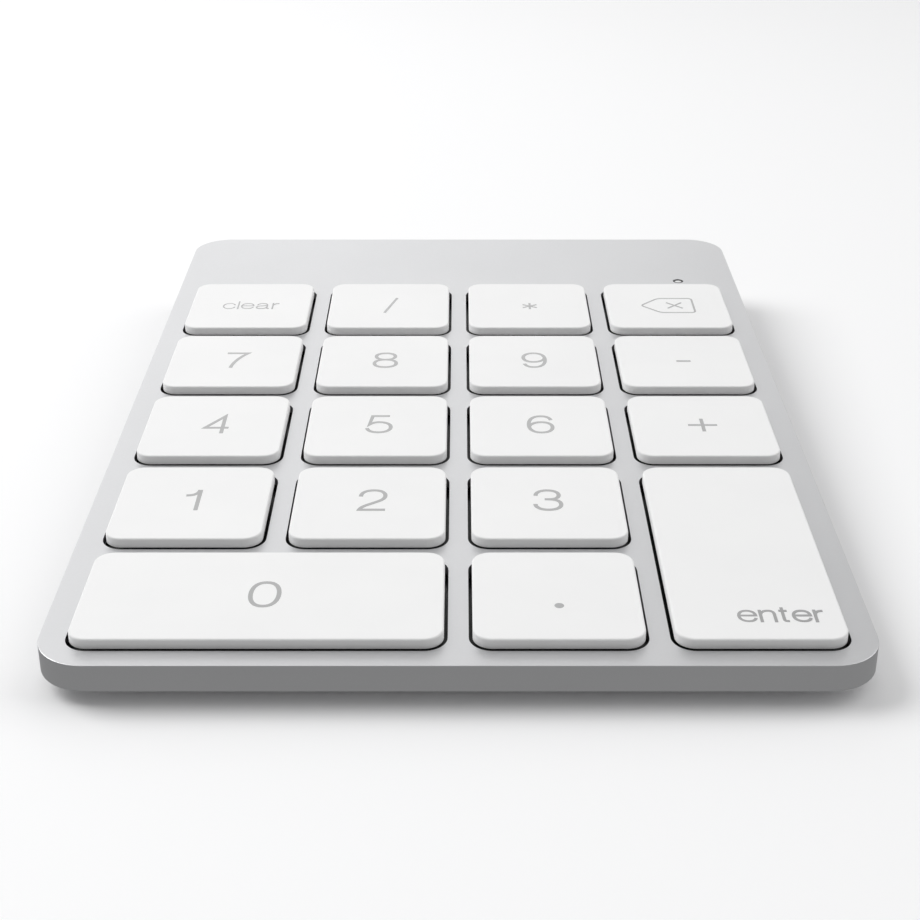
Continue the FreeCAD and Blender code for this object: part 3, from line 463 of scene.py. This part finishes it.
for name, *place in KEYS:
    strokes, width, dots = legend(name)
    middle = key_middle(*place)
    vertices, faces = [], []
    solids = [ribbon(centreline(stroke), width, INK_HEIGHT + INK_STEP * i)
              for i, stroke in enumerate(strokes)]
    for solid in solids + [disc(*dot) for dot in dots]:
        start = len(vertices)
        vertices += [(x + middle[0] + LEGEND_SHIFT, y + middle[1], z) for x, y, z in solid[0]]
        faces += [tuple(i + start for i in face) for face in solid[1]]
    piece(f"legend_{name}", vertices, faces, INK, f"key_{name}", "keycap")


# ---- a black ring between the status light's guide and its hole, a painted shadow of the hole's wall ---
SHADOW_RING_STEPS = 40
SHADOW_RING_RADII = (0.50, 0.745)               # inner, outer
SHADOW_RING_Z = (-0.075, -0.01)                 # low, high


def annulus(x, y, inner, outer, low, high, steps=SHADOW_RING_STEPS):
    """A square-edged ring in deck millimetres: (vertices, faces)."""
    corners = [(outer, high), (inner, high), (inner, low), (outer, low)]
    vertices = []
    for step in range(steps):
        angle = 2 * math.pi * step / steps
        vertices += [(x + r * math.cos(angle), y + r * math.sin(angle), z) for r, z in corners]
    faces = []
    for step in range(steps):
        a, b = 4 * step, 4 * ((step + 1) % steps)
        faces += [(a + k, a + (k + 1) % 4, b + (k + 1) % 4, b + k) for k in range(4)]
    return vertices, faces


LIGHT_AT = (31.5, 40.54)
# a near-black ring just under the deck's top in the status light's hole: painted shadow of the hole's wall
piece("status_light_painted_shadow_ring", *annulus(*LIGHT_AT, *SHADOW_RING_RADII, *SHADOW_RING_Z), BLACK, "case", "black_plastic")


def share(node, start, key, place, material, slot):
    """The part of a CAD node under one key, as a piece of its own."""
    x, y = key_middle(*place)
    reach = (PITCH * place[2] / 2, PITCH * place[3] / 2)
    source = NODES[node].data
    to_deck = DECK.inverted()
    inside = []
    for vertex in source.vertices:
        local = to_deck @ vertex.co
        inside.append(abs(local.x - x) < reach[0] and abs(local.y - y) < reach[1])
    faces = [tuple(face.vertices) for face in source.polygons if all(inside[v] for v in face.vertices)]
    used = sorted({v for face in faces for v in face})
    index = {v: i for i, v in enumerate(used)}
    made = piece(f"{start}_{key}", [source.vertices[v].co for v in used],
                 [tuple(index[v] for v in face) for face in faces], material, "case", slot, Matrix())
    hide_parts(node)
    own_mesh(made)


for key, *place in KEYS:
    share("scissor_inner_links", "inner_link", key, place, LINK, "link")
    share("rubber_domes", "dome", key, place, DOME, "dome")


# ---- floor, light and world ---------------------------------------------------------------------------
FLOOR_HALF = 3.0                         # m
FLOOR_COLOUR = (0.96, 0.96, 0.965, 1)
FLOOR_ROUGHNESS = 0.9
floor_mesh = bpy.data.meshes.new("floor")
floor_mesh.from_pydata([(-FLOOR_HALF, -FLOOR_HALF, 0), (FLOOR_HALF, -FLOOR_HALF, 0),
                        (FLOOR_HALF, FLOOR_HALF, 0), (-FLOOR_HALF, FLOOR_HALF, 0)], [], [(0, 1, 2, 3)])
floor = bpy.data.objects.new("floor", floor_mesh)
bpy.context.collection.objects.link(floor)
floor_material, _, floor_shader = new_material("floor_paper")
floor_shader.inputs["Base Color"].default_value = FLOOR_COLOUR
floor_shader.inputs["Roughness"].default_value = FLOOR_ROUGHNESS
floor_shader.inputs["Specular IOR Level"].default_value = 0.0
floor_mesh.materials.append(floor_material)
floor.visible_glossy = False


# A panel to the left, soft suns like diffused panels far from the object, and an even grey world.
# Azimuths run from the rear towards the right, in degrees.
PANEL_SIZE = 0.5                         # m
PANEL_DISTANCE = 0.8                     # m
PANEL = (287, 44, 3.8)                   # azimuth, elevation, watts
# name, azimuth, elevation, apparent width in degrees, strength
SUNS = [
    ("rear_left", 325, 38, 75, 0.41),
    ("rear_low", 357, 5, 60, 0.53),
    ("right", 72, 38, 60, 1.0),
    ("overhead", 0, 78, 60, 0.12),
    ("front", 180, 40, 70, 0.06),
]
WORLD_STRENGTH = 0.29


def light(name, kind, azimuth, elevation, distance=0.0):
    """A light whose beam comes down on the origin from that direction."""
    data = bpy.data.lights.new(name, kind)
    made = bpy.data.objects.new(name, data)
    bpy.context.collection.objects.link(made)
    made.rotation_euler = (math.radians(elevation - 90), 0, math.radians(-azimuth))
    made.location = made.rotation_euler.to_matrix() @ Vector((0, 0, distance))
    return data


panel = light("left_panel", "AREA", PANEL[0], PANEL[1], PANEL_DISTANCE)
panel.size = PANEL_SIZE
panel.energy = PANEL[2]
for name, azimuth, elevation, width, strength in SUNS:
    sun = light(name, "SUN", azimuth, elevation)
    sun.angle = math.radians(width)
    sun.energy = strength
world = bpy.data.worlds.new("studio")
bpy.context.scene.world = world
world.use_nodes = True
background = world.node_tree.nodes["Background"]
background.inputs["Color"].default_value = (1, 1, 1, 1)
background.inputs["Strength"].default_value = WORLD_STRENGTH

bpy.context.scene.view_settings.view_transform = "Standard"
bpy.context.scene.view_settings.look = "None"
